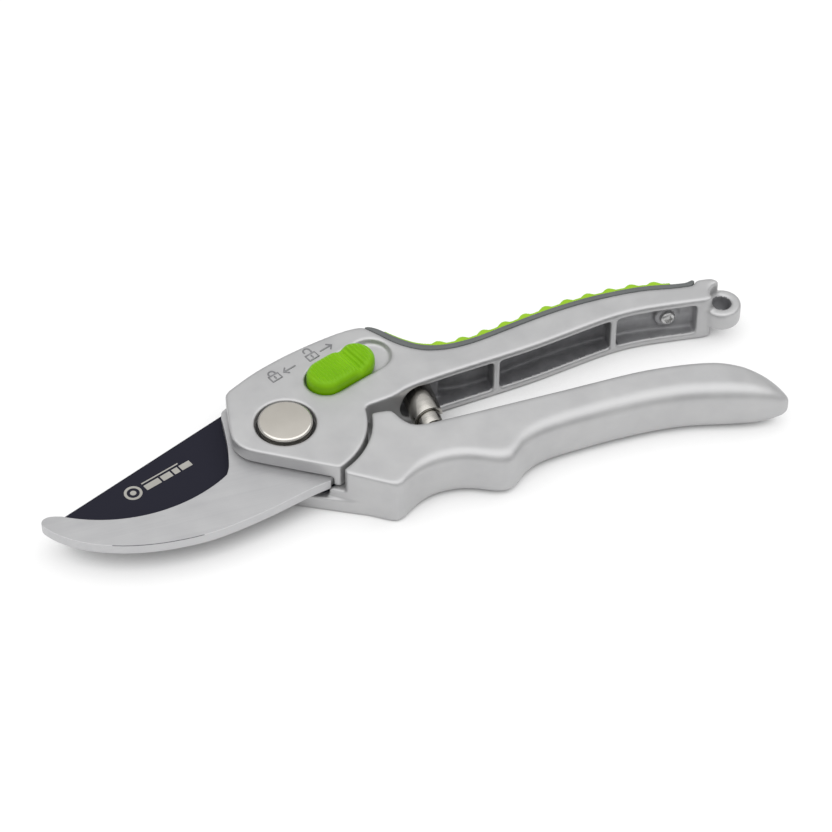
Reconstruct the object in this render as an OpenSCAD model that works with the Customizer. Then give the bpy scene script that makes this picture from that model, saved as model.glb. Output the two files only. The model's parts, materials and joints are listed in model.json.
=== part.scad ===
// Bypass pruning shears with die-cast handles, lying on one side, closed and locked.
// Plan outlines are drawn from the pivot, with +X towards the handles and Z along the pivot bolt.
// The whole tool is then shifted so that the middle of its footprint is the origin.

/* [Overall] */
// Length from the pivot to the tip of the lower handle
handle_len = 135.6; // [110:0.1:165]
// Length from the pivot to the tip of the hooked counter blade
jaw_len = 70.6; // [58:0.1:86]
// Thickness of the closed tool from face to face
tool_t = 15; // [14:0.1:18]

/* [Head and blades] */
// Thickness of each cast head plate
plate_t = 4.6; // [4.2:0.1:5]
// Thickness of the cutting blade
blade_t = 2.6; // [2:0.1:3.2]
// Gap between the cutting blade and the counter blade
jaw_gap = 0.1; // [0.05:0.05:0.2]
// Radius of the round rim of both head plates, on the handle side
head_r = 22.3; // [21.5:0.1:24]
// Gap between that rim and the other handle's shoulder
shoulder_gap = 1.2; // [0.8:0.1:1.5]
// Radius of the blades' tangs, inside the rims
tang_r = 20.4; // [19.8:0.1:20.6]
// Depth of the counter blade's hollow edge
hollow_sag = 6.3; // [5.5:0.1:7]
// How far the cutting edge passes that hollow edge when closed
blade_lap = 2.1; // [1.5:0.1:2.5]
// Width of the ground bevel on the cutting edge
bevel_w = 4.2; // [3:0.1:5]

/* [Pivot] */
// Radius of the pivot bolt's shank
bolt_r = 4; // [3.5:0.1:4.5]
// Radius of the pivot bolt's round head
bolt_head_r = 7.5; // [6.5:0.1:7.8]
// How far the bolt's head stands above the casting
bolt_proud = 1; // [0.6:0.1:1.4]
// Radius of the recesses for the bolt's head and nut
recess_r = 8.4; // [8.2:0.1:8.8]
// Wall of the bushing between the bolt and the cutting blade
bushing_wall = 1.4; // [1:0.1:1.6]
// Width across the flats of the nut
nut_af = 13; // [12:0.1:13.6]
// Thickness of the nut
nut_t = 2.4; // [2:0.1:2.5]
// Thickness of the washer under the nut
washer_t = 0.5; // [0.4:0.1:0.6]
// Radial clearance of the bolt in the bushing
run_gap = 0.06; // [0.03:0.01:0.09]

/* [Lock] */
// Travel of the thumb lock
lock_travel = 5; // [4:0.1:5.5]
// Direction of the travel, in degrees from +X
lock_angle = 21.5; // [18:0.5:24]
// Radius of the ends of the lock's recess
lock_recess_r = 5.8; // [5.4:0.1:6]
// Depth of that recess
lock_recess_d = 1.8; // [1.5:0.1:2]
// Distance between the centres of the recess's round ends
lock_recess_len = 15.4; // [14.8:0.1:15.4]
// Height of the button above the casting
button_h = 3.4; // [2.5:0.1:3.6]
// Radius of the lock's pin
lock_pin_r = 1.5; // [1.2:0.1:1.6]
// Thickness of the lock's steel slider
slider_t = 1.5; // [1.2:0.1:1.6]

/* [Handles] */
// Wall of the handles above and below their channels
flange_t = 2.3; // [2:0.1:2.5]
// Wall at the closed back of the channels
web_t = 2.7; // [2.4:0.1:3]
// Step along the middle of the channels' back wall
web_step = 0.4; // [0.3:0.1:1]
// Thickness of the ribs across the channels
rib_t = 2; // [1:0.1:2.4]
// Radius of the bore in the hanging eye
eye_bore_r = 2.6; // [2.2:0.1:3]
// Outer radius of the hanging eye
eye_r = 5.5; // [4.8:0.1:6]
// Thickness of the hanging eye
eye_t = 6; // [4:0.1:7]

/* [Grip] */
// Thickness of the grip's hard carrier
carrier_t = 1.9; // [1.5:0.1:2.2]
// Thickness of the soft pad between its ridges
pad_t = 1.1; // [0.5:0.1:1.6]
// Height of the soft ridges
ridge_h = 1.1; // [0.8:0.1:1.8]
// Distance from ridge to ridge
ridge_pitch = 6.5; // [5:0.1:8]
// How far the carrier stops short of the handle's faces
carrier_inset = 0.2; // [0.1:0.1:0.5]
// How far the soft pad stops short of the handle's faces
pad_inset = 0.8; // [0.6:0.1:2.5]

/* [Spring] */
// Outer radius of the volute spring
spring_r = 4.9; // [4:0.1:4.9]
// Thickness of the spring's strip
strip_t = 0.8; // [0.6:0.1:1]
// Width of the spring's strip
strip_w = 11.5; // [8:0.1:12]
// Number of turns
spring_turns = 3; // [2.5:0.5:3.5]

/* [Fasteners] */
// Shank radius of the countersunk blade screws
screw_r = 1.5; // [1.3:0.1:1.6]
// Head radius of the countersunk blade screws
screw_head_r = 2.8; // [2.5:0.1:3]
// Shank radius of the grip screw
grip_screw_r = 1.25; // [1:0.05:1.4]
// Head radius of the grip screw
grip_screw_head_r = 2.2; // [2:0.1:2.4]

/* [Hidden] */
$fn = 48;
far = 200;      // longer than the tool, for cuts that run off it
over = 1;       // how far a cut passes the face that it opens
fit = 0.1;      // clearance of parts that nest in one body

// Heights, from the face that the tool lies on
z_blade = plate_t;
z_ledge = z_blade + blade_t;
z_hook = z_ledge + jaw_gap;
z_head = tool_t - plate_t;
z_mid = tool_t / 2;
z_lip = z_hook + fit;
recess_d = 2.4;
nut_recess_d = nut_t + washer_t + 0.2;
wear_washer_t = 0.4;

function polar(r, a) = [r * cos(a), r * sin(a)];
function arc(c, r, a0, a1, n = 16) = [for (i = [0 : n]) c + polar(r, a0 + (a1 - a0) * i / n)];
function back(list) = [for (i = [len(list) - 1 : -1 : 0]) list[i]];

// A smooth curve through a list of points, with n steps between neighbours
function knot(list, i) = list[max(0, min(len(list) - 1, i))];
function blend(a, b, c, d, t) = 0.5 * (2 * b + (c - a) * t + (2 * a - 5 * b + 4 * c - d) * t * t
    + (3 * b - a - 3 * c + d) * t * t * t);
function curve(list, n = 4) = concat([for (i = [0 : len(list) - 2]) for (k = [0 : n - 1])
    blend(knot(list, i - 1), list[i], list[i + 1], knot(list, i + 2), k / n)], [list[len(list) - 1]]);

// Beyond the head, the handles stretch with handle_len; before it, the jaws stretch with jaw_len.
handle_from = 46;
handle_drawn = 135.6;
jaw_from = 20;
jaw_drawn = 70.6;
function along(x) = x <= handle_from ? x
    : handle_from + (x - handle_from) * (handle_len - handle_from) / (handle_drawn - handle_from);
function out_jaw(x) = x >= -jaw_from ? x
    : -jaw_from + (x + jaw_from) * (jaw_len - jaw_from) / (jaw_drawn - jaw_from);
function handle_pts(list) = [for (p = list) [along(p.x), p.y]];
function jaw_pts(list) = [for (p = list) [out_jaw(p.x), p.y]];

// Upper handle, seen from above
upper_out = curve(handle_pts([[31, 28.8], [34, 25.1], [37, 21.1], [40, 18.1], [44, 15.4], [48, 14.1],
    [53, 13.5], [60, 14], [70, 15.9], [80, 17.7], [90, 18.9], [100, 19.2], [110, 18.6], [118, 17],
    [124, 16.2]]), 3);
upper_in = curve(handle_pts([[23.2, -0.5], [31, 0.7], [36, 2.6], [45, 4], [55, 5.1], [65, 6.1],
    [75, 7.3], [85, 9], [95, 10.7], [103, 11.4], [110, 11.1], [118, 10.2], [125.6, 9.2]]), 3);
upper_end = handle_pts([[125.6, 17.8], [126.6, 17.9], [130, 17.4], [131.4, 16.2], [131.9, 14.6],
    [130, 11.4], [127.2, 9.3]]);
head_top = curve([[-11.3, 16.4], [-4, 20.4], [3, 23.3], [10, 25.6], [17, 27.4], [24, 28.8], [28.6, 29.2]], 3);
head_left = curve([[-9.5, -8.6], [-12.9, -6], [-14.8, -2.6], [-15, 1.5], [-12.9, 13.4], [-12.5, 15.2]], 3);
rim_low = -66;
upper_outline = concat(head_left, head_top, upper_out, upper_end, back(upper_in),
    arc([0, 0], head_r, -4, rim_low, 24));

// Where the upper handle becomes as thick as the tool
thick_x = 31.3;

// Counter blade: a hook with a hollow edge, and a tang that nests under the head
hollow_x = [out_jaw(-64.8), out_jaw(-20.8)];
hollow_low = -16.8;
hollow_half = (hollow_x[1] - hollow_x[0]) / 2;
hollow_r = (pow(hollow_half, 2) + pow(hollow_sag, 2)) / 2 / hollow_sag;
hollow_c = [(hollow_x[0] + hollow_x[1]) / 2, hollow_low + hollow_r];
hollow_from = asin(hollow_half / hollow_r) - 90;
hollow_to = -180 - hollow_from;
hook_back = curve(jaw_pts([[6.7, -20.1], [0, -21.6], [-10, -24.6], [-20, -27], [-28, -28.3], [-36, -28.4],
    [-44, -27.6], [-52, -25.7], [-60, -22.3], [-66, -18], [-69.3, -14.3], [-70.6, -11.8],
    [-70, -10.2], [-68.4, -9.6], [-66.5, -9.9]]), 3);
hook_crotch = curve([[-19.2, -9.4], [-18, -7], [-17.2, -4], [-16.3, 0], [-15.6, 5], [-15.1, 9.5],
    [-14.7, 12.4], [-14, 13.7], [-12.6, 14.5]], 2);
hook_seat = [[-8, 16], [-3, 18.5]];
hook_outline = concat(hook_back, arc(hollow_c, hollow_r, hollow_to, hollow_from, 26), hook_crotch,
    hook_seat, arc([0, 0], tang_r, 85, -70, 36));

// Cutting blade: a straight back, a round edge, and a tang that nests in the lower handle
edge_r = hollow_r + blade_lap;
spine = jaw_pts([[-67.2, -9.7], [-14, 15]]);
edge_from = asin((out_jaw(-66.2) - hollow_c.x) / edge_r) - 90;
edge_to = asin((-18 - hollow_c.x) / edge_r) - 90;
pin_way_r = 17.6;
edge_land = 0.2;    // what is left upright at the cutting edge
blade_outline = concat([spine[0]], arc(hollow_c, edge_r, edge_from, edge_to, 26),
    [[-12, -13.4], [-4, -15], [5, -18.6]], arc([0, 0], tang_r, -66, 29, 24),
    arc([0, 0], pin_way_r, 30, 80, 14), [[-5, 17.9], [-10, 16.7], spine[1]]);

// Lower handle, seen from above: a plate, a ledge on it from ledge_from and a full shoulder from shoulder_from
ledge_from = 4.5;
shoulder_from = 10.2;
lower_in = curve(handle_pts([[ledge_from, -3.3], [27, -3.3], [28.8, -3.9], [29.8, -6.2], [31.2, -9], [33.4, -10.8],
    [37, -11.3], [45, -11.3], [60, -11.1], [80, -10.8], [95, -10.5], [104, -11], [112, -12.1],
    [119, -13.7], [125, -16.2], [130, -20], [133.5, -23.9], [135.6, -27]]), 3);
lower_out = curve(handle_pts([[ledge_from, -18.8], [13.5, -25.4], [19.6, -29.8], [21.6, -31.1], [23.8, -30.7],
    [26.5, -28.9], [30, -27.1], [33.5, -26], [37, -25.7], [41, -26.1], [45, -27.4], [49, -29.5],
    [52, -30.8], [54.6, -30.7], [57, -29], [59.5, -26.7], [63, -24.8], [68, -23.6], [78, -22.8],
    [90, -22.5], [101, -22.9], [110, -24.3], [118, -26.5], [125, -28.3], [130, -29.2],
    [133.5, -29.3], [135.6, -28.5]]), 3);
lower_top = handle_pts([[ledge_from, 0], [114, 0], [120, -0.1], [127, -1], [131.5, -2.6], [134, -4.4], [135.6, -6.2]]);
lower_base = handle_pts([[ledge_from, 0], [118, 0], [126, 0.5], [131, 1.4], [134, 2.6], [135.6, 4.2]]);
lower_round = handle_pts([[ledge_from, 0.7], [20, 1], [30, 2.6], [60, 3.6], [120, 4.2], [135.6, 3]]);
plate_outline = concat([[28, -24], [20, -29.2], [-1.5, -17.4]],
    curve([[-9, -12.4], [-13.2, -9], [-15.4, -4.6], [-15.8, 1], [-14.4, 7.4], [-11, 12.8], [-5, 17.2],
        [3, 20.2]], 3), arc([0, 0], head_r, 72, -8, 30), [[28, -5]]);

// Grip on the back of the upper handle
carrier_back = curve(handle_pts([[31.4, 29.1], [33, 28.5], [35, 26.9], [38, 23.2], [41, 20.1], [44, 17.8],
    [48, 16.2], [53, 15.5], [60, 15.9], [70, 17.8], [80, 19.6], [90, 20.8], [100, 21.1], [110, 20.5],
    [118, 18.9], [122.5, 18.1], [124.6, 18.6], [125.6, 18.1]]), 3);
pad_from = 36;          // the plain start of the pad
ridges_from = 47.2;
ridges_to = along(118.7);

// Lock, on a line from lock_front along lock_angle
lock_front = [15.2, 12.3];
button_r = lock_recess_r - 0.3;
button_len = lock_recess_len - lock_travel - 0.4;
stem_at = button_len / 2 + 0.2;
stem_r = 2.4;
floor_z = z_head + slider_t + fit;
slider_r = 3.2;
slider_len = 8.2;
pin_tip_z = z_blade + 0.6;
lock_screw_r = 1.1;
lock_screw_head_r = 2.1;
detent = [3, 11];
detent_pocket_w = 1.7;

// Hanging eye
eye = [along(131.2), 11.3];

// Volute spring between the handles
spring_x = 38.8;
spring_low = -15.4;
spring_high = 8.3;
spring_room = 0.75;   // from the spring to the wall of its pockets
spring_pin_r = 1.1;
spring_pin_len = 2;
spring_end = 0.15;     // from the ends of the spring to the floors of its pockets

bays_from = spring_x + spring_r + spring_room + rib_t;

// Screws
hook_screws = [[-9.5, 7.5], [3.5, -13.8]];
blade_screws = [[-10.2, 5.5], [6.5, -12.6]];
grip_screw_x = along(115.7);
grip_peg_x = along(54);
grip_screw_head_h = 1.3;
grip_screw_bite = 1.2;  // how far the screw goes into the carrier
grip_boss_r = 3.6;
grip_boss_h = 1.4;     // from the web towards the open side
grip_peg_r = 3;
grip_peg_d = 1.6;      // how deep the carrier's pegs sit in the casting

// The footprint's middle, which is the origin
box_x = [min([for (p = hook_outline) p.x]), max(eye.x + eye_r, along(handle_drawn))];
box_y = [min([for (p = lower_out) p.y]), max([for (p = head_top) p.y])];
middle = [(box_x[0] + box_x[1]) / 2, (box_y[0] + box_y[1]) / 2];

module placed() translate([-middle.x, -middle.y, 0]) children();

module slab(outline, z0, z1) translate([0, 0, z0]) linear_extrude(z1 - z0) polygon(outline);

module disc(at, r, z0, z1) translate([at.x, at.y, z0]) cylinder(r = r, h = z1 - z0);

// A straight slot or bar with round ends, measured along the lock's line
module lock_bar(s0, s1, r, z0, z1) {
    translate([lock_front.x, lock_front.y, z0]) rotate([0, 0, lock_angle]) {
        translate([s0, 0, 0]) cylinder(r = r, h = z1 - z0);
        if (s1 > s0) {
            translate([s1, 0, 0]) cylinder(r = r, h = z1 - z0);
            translate([s0, -r, 0]) cube([s1 - s0, 2 * r, z1 - z0]);
        }
    }
}

// A countersunk screw whose head is flush at z_face and whose shank runs dir * length
module flat_screw(at, z_face, dir, length) {
    translate([at.x, at.y, z_face]) mirror([0, 0, dir > 0 ? 0 : 1]) {
        cylinder(r1 = screw_head_r, r2 = screw_r, h = screw_head_r - screw_r);
        cylinder(r = screw_r, h = length);
    }
}

// One bay of a channel: the space between two walls, from inside the web to past the open edge.
// The web is thicker in its lower half, which leaves a small step along its middle.
module bay(x0, x1, web, mouth, sign) {
    xs = [for (i = [0 : 6]) x0 + (x1 - x0) * i / 6];
    lip = [for (x = xs) [x, lookup(x, mouth) + sign * 3]];
    module half(wall, z0, z1) slab(concat([for (x = xs) [x, lookup(x, web) + sign * wall]], back(lip)), z0, z1);
    half(web_t + web_step, flange_t, z_mid + fit);
    half(web_t, z_mid, tool_t - flange_t);
}

// The round pocket that holds one end of the spring, open at y1
module spring_pocket(y0, y1) bar_y(spring_x, spring_r + spring_room, min(y0, y1), max(y0, y1));

function bay_walls(first, ribs, last) = concat([first], [for (r = ribs) each [r - rib_t / 2, r + rib_t / 2]], [last]);

// A round bar along Y at mid height
module bar_y(x, r, y0, y1) translate([x, y0, z_mid]) rotate([-90, 0, 0]) cylinder(r = r, h = y1 - y0);

function screw_face() = lookup(grip_screw_x, upper_out) - web_t - grip_boss_h;
function screw_tip() = lookup(grip_screw_x, upper_out) + grip_screw_bite;

module upper_handle() color("silver") placed() difference() {
    union() {
        difference() {
            slab(upper_outline, 0, tool_t);
            // under the head there is room for the other handle's plate and both blades
            translate([-far, -far, -over]) cube([far + thick_x, 2 * far, z_lip + over]);
            difference() {
                translate([-far, -far, z_lip - over]) cube([far + thick_x, 2 * far, z_head - z_lip + over]);
                difference() {
                    slab(upper_outline, z_lip, tool_t);
                    disc([0, 0], tang_r + fit, 0, tool_t + over);
                    slab([[0, 0], polar(far, -70), [-far, -far], [-far, 14.7], [-12.8, 14.7],
                        [-8, 16.15], [-3, 18.7], [1.8, tang_r + fit]], 0, tool_t + over);
                }
            }
            upper_bays();
        }
        bar_y(grip_screw_x, grip_boss_r, screw_face(), screw_face() + web_t);
        bar_y(spring_x, spring_pin_r, spring_high - spring_pin_len, spring_high + over);
        disc(eye, eye_r, z_mid - eye_t / 2, z_mid + eye_t / 2);
    }
    // hanging eye
    disc(eye, eye_bore_r, -over, tool_t + over);
    disc(eye, eye_bore_r + 1, -over, z_mid - eye_t / 2);
    disc(eye, eye_bore_r + 1, z_mid + eye_t / 2, tool_t + over);
    // pivot: recess for the head, and a hole with two flats for the bolt's neck
    disc([0, 0], recess_r, tool_t - recess_d, tool_t + over);
    bolt_neck(z_head - over, tool_t, fit / 2);
    // blade screws
    for (at = hook_screws) flat_screw(at, z_hook, 1, z_head - z_hook + 2.3);
    // lock: recess, slot through its floor, and the slider's channel below
    lock_bar(0, lock_recess_len, lock_recess_r, tool_t - lock_recess_d, tool_t + over);
    lock_bar(stem_at - 0.2, stem_at + lock_travel + 0.2, stem_r + 0.2, floor_z - over, tool_t);
    lock_bar(-0.2, slider_len + lock_travel + 0.3, slider_r + fit, 0, floor_z);
    detent_pocket();
    grip_holes();
}

module upper_bays() {
    ribs = [along(62.6), along(99)];
    walls = bay_walls(bays_from, ribs, along(123.2));
    for (i = [0 : 2 : len(walls) - 2]) bay(walls[i], walls[i + 1], upper_out, upper_in, -1);
    spring_pocket(spring_high, -9);
    // the first bay opens into the spring's pocket
    translate([spring_x, -over, flange_t]) cube([bays_from - spring_x + over, spring_high + over, tool_t - 2 * flange_t]);
}

// A hole for the screw, and round seats for the carrier's two pegs
module grip_holes() {
    bar_y(grip_screw_x, grip_screw_r + fit, 0, far);
    for (x = [grip_peg_x, grip_screw_x]) bar_y(x, grip_peg_r + fit, lookup(x, upper_out) - grip_peg_d, far);
}

// Rings of points across the lower handle, joined into one smooth body
function ring(x, n_out = 4, n_in = 2) =
    let (yo = lookup(x, lower_out), yi = lookup(x, lower_in),
        z0 = lookup(x, lower_base), z1 = tool_t + lookup(x, lower_top),
        ro = min(lookup(x, lower_round), (yi - yo) * 0.45, (z1 - z0) * 0.45),
        ri = min(1, (yi - yo) * 0.45, (z1 - z0) * 0.45))
    [for (p = concat(arc([yo + ro, z0 + ro], ro, 180, 270, n_out), arc([yi - ri, z0 + ri], ri, 270, 360, n_in),
        arc([yi - ri, z1 - ri], ri, 0, 90, n_in), arc([yo + ro, z1 - ro], ro, 90, 180, n_out))) [x, p.x, p.y]];

module lower_body() {
    nose = along(handle_drawn);
    xs = concat([for (x = [ledge_from + 0.1 : 1.75 : 27]) x], [for (x = [28 : 0.7 : 35]) x],
        [for (i = [0 : 38]) 36.4 + (nose - 12 - 36.4) * i / 38], [for (s = [9.5, 7, 5, 3.2, 1.8, 0.8, 0]) nose - s]);
    rings = [for (x = xs) ring(x)];
    m = len(rings[0]);
    n = len(rings);
    polyhedron(points = [for (r = rings) each r], faces = concat(
        [[for (j = [0 : m - 1]) j]],
        [for (i = [0 : n - 2]) for (j = [0 : m - 1]) let (k = (j + 1) % m)
            each [[i * m + j, (i + 1) * m + j, (i + 1) * m + k], [i * m + j, (i + 1) * m + k, i * m + k]]],
        [[for (j = [m - 1 : -1 : 0]) (n - 1) * m + j]]), convexity = 8);
}

module lower_bays() {
    ribs = [along(63), along(82), along(101)];
    walls = bay_walls(bays_from, ribs, along(116));
    for (i = [0 : 2 : len(walls) - 2]) bay(walls[i], walls[i + 1], lower_out, lower_in, 1);
    spring_pocket(spring_low, -8);
}

module lower_handle() color("silver") placed() difference() {
    union() {
        slab(plate_outline, 0, plate_t);
        difference() {
            lower_body();
            disc([0, 0], tang_r + fit, z_blade, tool_t + over);
            disc([0, 0], head_r + shoulder_gap, z_ledge, tool_t + over);
            translate([0, -far, z_ledge]) cube([shoulder_from, 2 * far, tool_t]);
            lower_bays();
        }
    }
    disc([0, 0], bolt_r + run_gap + bushing_wall, -over, tool_t);
    disc([0, 0], recess_r, -over, nut_recess_d);
    for (at = blade_screws) flat_screw(at, z_ledge, -1, z_ledge - 1.2);
}

module counter_blade() color("gainsboro") placed() difference() {
    slab(hook_outline, z_hook, z_head);
    disc([0, 0], bolt_r + fit / 2, 0, tool_t);
    lock_bar(0, far, lock_pin_r + 0.3, 0, tool_t);
    for (at = hook_screws) flat_screw(at, z_hook, 1, far);
}

module cutting_blade() color("#23222c") placed() difference() {
    slab(blade_outline, z_blade, z_ledge);
    disc([0, 0], bolt_r + run_gap + bushing_wall, 0, tool_t);
    for (at = blade_screws) flat_screw(at, z_ledge, -1, far);
    // ground bevel under the cutting edge, a cone about the edge's own centre
    slope = (blade_t - edge_land) / bevel_w;
    translate([hollow_c.x, hollow_c.y, z_blade]) rotate([0, 0, -180]) rotate_extrude(angle = edge_to + 180, $fn = 96)
        polygon([[edge_r - bevel_w - over, -over * slope], [edge_r + over, blade_t - edge_land + over * slope],
            [edge_r + over, -over], [edge_r - bevel_w - over, -over]]);
}

module counter_blade_screws() color("gray") placed() {
    for (at = hook_screws) flat_screw(at, z_hook, 1, z_head - z_hook + 2.2);
}

module cutting_blade_screws() color("gray") placed() {
    for (at = blade_screws) flat_screw(at, z_ledge, -1, z_ledge - 1.3);
}

// The bolt's neck, a cylinder with two flats
module bolt_neck(z0, z1, extra = 0) intersection() {
    disc([0, 0], bolt_r + 1 + extra, z0, z1);
    translate([-far, -bolt_r - extra, z0]) cube([2 * far, 2 * (bolt_r + extra), z1 - z0]);
}

module pivot_bolt() color("#cfc8bc") placed() {
    top = tool_t + bolt_proud;
    seat = tool_t - recess_d + wear_washer_t;
    edge = 1.2;
    rotate_extrude() polygon(concat([[0, seat], [bolt_head_r, seat]],
        arc([bolt_head_r - edge, top - edge], edge, 0, 90, 6), [[0, top]]));
    bolt_neck(z_head, seat);
    disc([0, 0], bolt_r, 0.6, z_head);
}

module pivot_bushing() color("#b08d57") placed() difference() {
    disc([0, 0], bolt_r + run_gap + bushing_wall, nut_recess_d, z_ledge);
    disc([0, 0], bolt_r + run_gap, 0, tool_t);
}

module pivot_washer() color("gray") placed() difference() {
    disc([0, 0], recess_r - 0.5, nut_recess_d - washer_t - fit / 2, nut_recess_d - fit / 2);
    disc([0, 0], bolt_r + fit / 2, 0, tool_t);
}

module pivot_nut() color("gray") placed() difference() {
    top = nut_recess_d - washer_t - fit / 2;
    translate([0, 0, top - nut_t]) cylinder(r = nut_af / 2 / cos(30), h = nut_t, $fn = 6);
    disc([0, 0], bolt_r, -over, tool_t);
}

module pivot_wear_washer() color("#222222") placed() difference() {
    disc([0, 0], recess_r - 0.3, tool_t - recess_d, tool_t - recess_d + wear_washer_t);
    disc([0, 0], bolt_r + 1 + fit, 0, tool_t);
}

module lock_button() color("#7ac520") placed() difference() {
    union() {
        lock_bar(0.2, button_len + 0.2, button_r, tool_t - lock_recess_d + fit / 2, tool_t + button_h);
        lock_bar(stem_at, stem_at, stem_r, floor_z - fit / 2, tool_t);
    }
    lock_bar(stem_at, stem_at, lock_screw_r, 0, tool_t + 0.6);
}

module lock_slider() color("gray") placed() difference() {
    lock_bar(0, slider_len, slider_r, z_head + fit / 2, z_head + fit / 2 + slider_t);
    lock_bar(stem_at, stem_at, lock_screw_r, 0, tool_t);
    lock_bar(0, 0, lock_pin_r, 0, tool_t);
}

module lock_pin() color("gray") placed() {
    lock_bar(0, 0, lock_pin_r, pin_tip_z, z_head + fit / 2 + slider_t);
}

module lock_screw() color("gray") placed() {
    lock_bar(stem_at, stem_at, lock_screw_head_r, z_head + fit / 2 - 0.9, z_head + fit / 2);
    lock_bar(stem_at, stem_at, lock_screw_r, z_head + fit / 2 - 0.1, tool_t + 0.5);
}

// A thin bowed leaf beside the slider, in a pocket of its own
module detent_pocket() {
    translate([lock_front.x, lock_front.y, z_lip - over]) rotate([0, 0, lock_angle])
        translate([detent[0], -slider_r - detent_pocket_w, 0])
            cube([detent[1] - detent[0], detent_pocket_w + 1, floor_z - z_lip + over]);
}

module lock_detent_spring() color("gray") placed() {
    leaf_t = 0.35;
    bow = 1;
    n = 12;
    y_back = -slider_r - detent_pocket_w + fit;
    line = [for (i = [0 : n]) [detent[0] + 0.2 + (detent[1] - detent[0] - 0.4) * i / n, y_back + bow * sin(180 * i / n)]];
    translate([lock_front.x, lock_front.y, z_head + 0.2]) rotate([0, 0, lock_angle]) linear_extrude(slider_t - 0.2)
        polygon(concat(line, back([for (p = line) p + [0, leaf_t]])));
}

// A strip wound in a cone: the widest turn sits in the upper handle, and each turn lies inside the last
module volute_spring() color("#8a8580") placed() {
    steps = 20 * spring_turns;
    r_end = 1.9;
    rise = spring_high - spring_low - strip_w - 2 * spring_end;
    rings = [for (i = [0 : steps]) let (t = i / steps, a = 360 * spring_turns * t,
            r = spring_r + (r_end - spring_r) * t, y = spring_high - spring_end - strip_w - rise * t)
        [for (q = [[r, y], [r - strip_t, y], [r - strip_t, y + strip_w], [r, y + strip_w]])
            [spring_x + q[0] * cos(a), q[1], z_mid + q[0] * sin(a)]]];
    polyhedron(points = [for (r = rings) each r], faces = concat([[0, 1, 2, 3]],
        [for (i = [0 : steps - 1]) for (j = [0 : 3]) let (k = (j + 1) % 4)
            each [[i * 4 + j, (i + 1) * 4 + j, (i + 1) * 4 + k], [i * 4 + j, (i + 1) * 4 + k, i * 4 + k]]],
        [[for (j = [3 : -1 : 0]) steps * 4 + j]]), convexity = 8);
}

module grip_carrier() color("#5d6160") placed() difference() {
    union() {
        slab(concat(carrier_back, back(upper_out)), carrier_inset, tool_t - carrier_inset);
        for (x = [grip_peg_x, grip_screw_x])
            bar_y(x, grip_peg_r, lookup(x, upper_out) - grip_peg_d + fit, lookup(x, upper_out) + over);
    }
    bar_y(grip_screw_x, grip_screw_r, 0, screw_tip());
}

// Soft pad with a row of round ridges across the back of the hand
module grip_pad() color("#7ac520") placed() {
    count = floor((ridges_to - ridges_from) / ridge_pitch);
    start = (ridges_from + ridges_to - count * ridge_pitch) / 2;
    steps = 8;
    share = 0.62;
    lead = 10;
    xs = concat([for (i = [0 : lead - 1]) pad_from + (start - pad_from) * i / lead],
        [for (i = [0 : count * steps]) start + i * ridge_pitch / steps]);
    wave = concat([for (i = [0 : lead - 1]) 0],
        [for (i = [0 : count * steps]) let (f = (i % steps) / steps) f < share ? sin(180 * f / share) : 0]);
    base = [for (x = xs) [x, lookup(x, carrier_back)]];
    crest = [for (i = [0 : len(xs) - 1]) base[i] + [0, pad_t + ridge_h * wave[i]]];
    slab(concat(crest, back(base)), pad_inset, tool_t - pad_inset);
}

module grip_screw() color("gray") placed() {
    bar_y(grip_screw_x, grip_screw_head_r, screw_face() - grip_screw_head_h, screw_face());
    bar_y(grip_screw_x, grip_screw_r, screw_face() - grip_screw_head_h / 2, screw_tip());
}

upper_handle();
lower_handle();
counter_blade();
cutting_blade();
counter_blade_screws();
cutting_blade_screws();
pivot_bolt();
pivot_bushing();
pivot_washer();
pivot_nut();
pivot_wear_washer();
lock_button();
lock_slider();
lock_pin();
lock_screw();
lock_detent_spring();
volute_spring();
grip_carrier();
grip_pad();
grip_screw();
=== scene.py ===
import json
import math

import bmesh
import bpy
import numpy as np
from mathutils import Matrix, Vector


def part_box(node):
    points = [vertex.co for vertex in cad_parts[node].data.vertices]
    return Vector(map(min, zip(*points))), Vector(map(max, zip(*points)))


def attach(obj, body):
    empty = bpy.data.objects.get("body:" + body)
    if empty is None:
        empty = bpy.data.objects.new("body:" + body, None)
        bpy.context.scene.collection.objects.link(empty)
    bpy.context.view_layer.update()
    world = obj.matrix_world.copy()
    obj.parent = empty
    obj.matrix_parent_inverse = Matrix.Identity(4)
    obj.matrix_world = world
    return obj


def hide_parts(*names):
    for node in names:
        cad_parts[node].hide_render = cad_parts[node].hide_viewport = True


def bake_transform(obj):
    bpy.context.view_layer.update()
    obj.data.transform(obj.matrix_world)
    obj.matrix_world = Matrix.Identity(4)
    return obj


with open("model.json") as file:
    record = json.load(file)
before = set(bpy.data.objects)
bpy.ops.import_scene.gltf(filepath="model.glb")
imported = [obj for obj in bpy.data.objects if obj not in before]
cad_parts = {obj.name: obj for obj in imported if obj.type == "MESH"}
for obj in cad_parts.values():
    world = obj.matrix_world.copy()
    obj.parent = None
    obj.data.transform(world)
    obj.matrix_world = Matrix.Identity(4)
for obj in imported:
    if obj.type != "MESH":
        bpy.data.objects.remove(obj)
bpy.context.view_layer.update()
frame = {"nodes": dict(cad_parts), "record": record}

import openvdb as vdb
from mathutils import Vector

# Sizes in this script are millimetres from the pivot bolt's axis; the frame is in metres.
mm = 0.001


def middleOf(node):
    low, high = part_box(node)
    return (Vector(low) + Vector(high)) / 2


def topOf(node):
    return Vector(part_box(node)[1]).z / mm


def lowOf(node):
    return Vector(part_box(node)[0]).z / mm


pivot = middleOf("pivot_bolt")
origin = np.array([pivot.x, pivot.y, 0.0])
thickness = topOf("upper_handle")
middleZ = thickness / 2


def place(x, y, z=0.0):
    return Vector((pivot.x + x * mm, pivot.y + y * mm, z * mm))


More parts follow.
